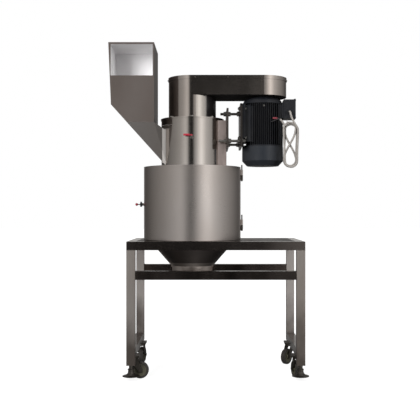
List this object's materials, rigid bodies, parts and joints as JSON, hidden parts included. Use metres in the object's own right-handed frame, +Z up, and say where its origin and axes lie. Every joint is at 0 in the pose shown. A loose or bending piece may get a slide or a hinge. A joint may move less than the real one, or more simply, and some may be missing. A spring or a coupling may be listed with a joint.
{
  "type": "hammer mill",
  "caption": "Vertical hammer mill on a wheeled stand: side hopper, round grinding drum with a hinged door, cone outlet and a belt-driven motor.",
  "frame": {"origin": "on the floor, under the centre of the machine's bounding box", "axes": "+Z up, +X from the hopper towards the motor, +Y from the drum door towards the rear"},
  "size_m": [1.19, 0.687, 2.005],
  "materials": {
    "stainless": "brushed satin stainless steel sheet",
    "stainless_frame": "satin stainless square tube, darker reflections",
    "stainless_sheet": "mill-finish stainless sheet",
    "zinc": "zinc plated steel",
    "machined_steel": "machined bare steel",
    "motor_paint": "semi-matt blue-grey enamel",
    "black_plastic": "moulded black plastic",
    "red_plastic": "moulded red plastic",
    "wheel_rubber": "black tread on a dark hub",
    "belt_rubber": "black belt rubber",
    "cord_sheath": "light grey flexible sheath"
  },
  "bodies": {
    "machine": {"drum_rear_shell": "stainless", "drum_top_plate": "stainless", "feed_chamber": "stainless", "chamber_cover": "stainless", "neck_cover": "stainless", "guard_body": "stainless", "guard_lid": "stainless", "screen_basket": "stainless", "motor_bracket": "stainless", "legs": "stainless_frame", "top_rails": "stainless_frame", "lower_rails": "stainless_frame", "deck_plate": "stainless_frame", "motor_plate": "stainless_frame", "hopper": "stainless_sheet", "chute": "stainless_sheet", "discharge_cone": "stainless_sheet", "castor_plates": "zinc", "door_hinges": "zinc", "hex_bolts": "zinc", "guard_screws": "zinc", "tension_rods": "zinc", "valve_body": "zinc", "bearing_tube": "machined_steel", "bearings": "machined_steel", "motor_stator": "machined_steel", "motor_frame": "motor_paint", "motor_end_shields": "motor_paint", "fan_cowl": "motor_paint", "terminal_box": "motor_paint", "terminal_lid": "motor_paint", "cable_gland": "black_plastic", "v_belts": "belt_rubber", "cord_lead": "cord_sheath", "cord_hank": "cord_sheath", "cord_tail": "cord_sheath"},
    "drum_door": {"drum_door": "stainless"},
    "door_latch": {"latch_spindle": "stainless", "latch_star_knob": "black_plastic", "latch_ball": "red_plastic"},
    "mill_rotor": {"mill_shaft": "machined_steel", "rotor_body": "machined_steel", "driven_pulley": "machined_steel"},
    "hammer_row_a": {"hammers_a": "machined_steel"},
    "hammer_row_b": {"hammers_b": "machined_steel"},
    "hammer_row_c": {"hammers_c": "machined_steel"},
    "motor_rotor": {"motor_shaft": "machined_steel", "motor_fan": "black_plastic", "drive_pulley": "machined_steel"},
    "rinse_lever": {"valve_lever": "red_plastic"},
    "left_foot": {"foot_left": "zinc"},
    "right_foot": {"foot_right": "zinc"},
    "swivel_fl": {"castor_fork_fl": "zinc"},
    "wheel_fl": {"castor_wheel_fl": "wheel_rubber"},
    "swivel_fr": {"castor_fork_fr": "zinc"},
    "wheel_fr": {"castor_wheel_fr": "wheel_rubber"},
    "swivel_rl": {"castor_fork_rl": "zinc"},
    "wheel_rl": {"castor_wheel_rl": "wheel_rubber"},
    "swivel_rr": {"castor_fork_rr": "zinc"},
    "wheel_rr": {"castor_wheel_rr": "wheel_rubber"}
  },
  "joints": [
    {"name": "rotor_spin", "type": "hinge", "parent": "machine", "child": "mill_rotor", "pos_m": [-0.094, 0.0125, 1], "axis": [0, 0, 1], "continuous": true},
    {"name": "motor_spin", "type": "hinge", "parent": "machine", "child": "motor_rotor", "pos_m": [0.343, 0.0125, 1.5], "axis": [0, 0, 1], "continuous": true},
    {"name": "hammer_a_swing", "type": "hinge", "parent": "mill_rotor", "child": "hammer_row_a", "pos_m": [0.0359, 0.0875, 1.04], "axis": [0, 0, 1], "range_deg": [-100, 100]},
    {"name": "hammer_b_swing", "type": "hinge", "parent": "mill_rotor", "child": "hammer_row_b", "pos_m": [-0.2239, 0.0875, 1.04], "axis": [0, 0, 1], "range_deg": [-100, 100]},
    {"name": "hammer_c_swing", "type": "hinge", "parent": "mill_rotor", "child": "hammer_row_c", "pos_m": [-0.094, -0.1375, 1.04], "axis": [0, 0, 1], "range_deg": [-100, 100]},
    {"name": "door_swing", "type": "hinge", "parent": "machine", "child": "drum_door", "pos_m": [0.214, 0.0125, 1.05], "axis": [0, 0, 1], "range_deg": [0, 85]},
    {"name": "latch_turn", "type": "hinge", "parent": "drum_door", "child": "door_latch", "pos_m": [-0.394, -0.0015, 1.032], "axis": [1, 0, 0], "range_deg": [0, 90]},
    {"name": "rinse_lever_turn", "type": "hinge", "parent": "machine", "child": "rinse_lever", "pos_m": [-0.094, -0.2035, 1.445], "axis": [0, 0, 1], "range_deg": [0, 90]},
    {"name": "left_foot_screw", "type": "slide", "parent": "machine", "child": "left_foot", "axis": [0, 0, 1], "range_m": [-0.025, 0]},
    {"name": "right_foot_screw", "type": "slide", "parent": "machine", "child": "right_foot", "axis": [0, 0, 1], "range_m": [-0.025, 0]},
    {"name": "castor_fl_swivel", "type": "hinge", "parent": "machine", "child": "swivel_fl", "pos_m": [-0.435, -0.2185, 0.118], "axis": [0, 0, 1], "range_deg": [-20, 200]},
    {"name": "castor_fr_swivel", "type": "hinge", "parent": "machine", "child": "swivel_fr", "pos_m": [0.535, -0.2185, 0.118], "axis": [0, 0, 1], "range_deg": [-122, 98]},
    {"name": "castor_rl_swivel", "type": "hinge", "parent": "machine", "child": "swivel_rl", "pos_m": [-0.435, 0.2435, 0.118], "axis": [0, 0, 1], "continuous": true},
    {"name": "castor_rr_swivel", "type": "hinge", "parent": "machine", "child": "swivel_rr", "pos_m": [0.535, 0.2435, 0.118], "axis": [0, 0, 1], "continuous": true},
    {"name": "castor_fl_roll", "type": "hinge", "parent": "swivel_fl", "child": "wheel_fl", "pos_m": [-0.397, -0.2185, 0.05], "axis": [0, 1, 0], "continuous": true},
    {"name": "castor_fr_roll", "type": "hinge", "parent": "swivel_fr", "child": "wheel_fr", "pos_m": [0.5271, -0.18133, 0.05], "axis": [-0.9781, -0.2079, 0], "continuous": true},
    {"name": "castor_rl_roll", "type": "hinge", "parent": "swivel_rl", "child": "wheel_rl", "pos_m": [-0.4284, 0.28092, 0.05], "axis": [-0.9848, 0.1736, 0], "continuous": true},
    {"name": "castor_rr_roll", "type": "hinge", "parent": "swivel_rr", "child": "wheel_rr", "pos_m": [0.5116, 0.21356, 0.05], "axis": [0.788, -0.6157, 0], "continuous": true}
  ],
  "couplings": [
    {"joint": "motor_spin", "follows": "rotor_spin", "ratio": 0.67828}
  ]
}
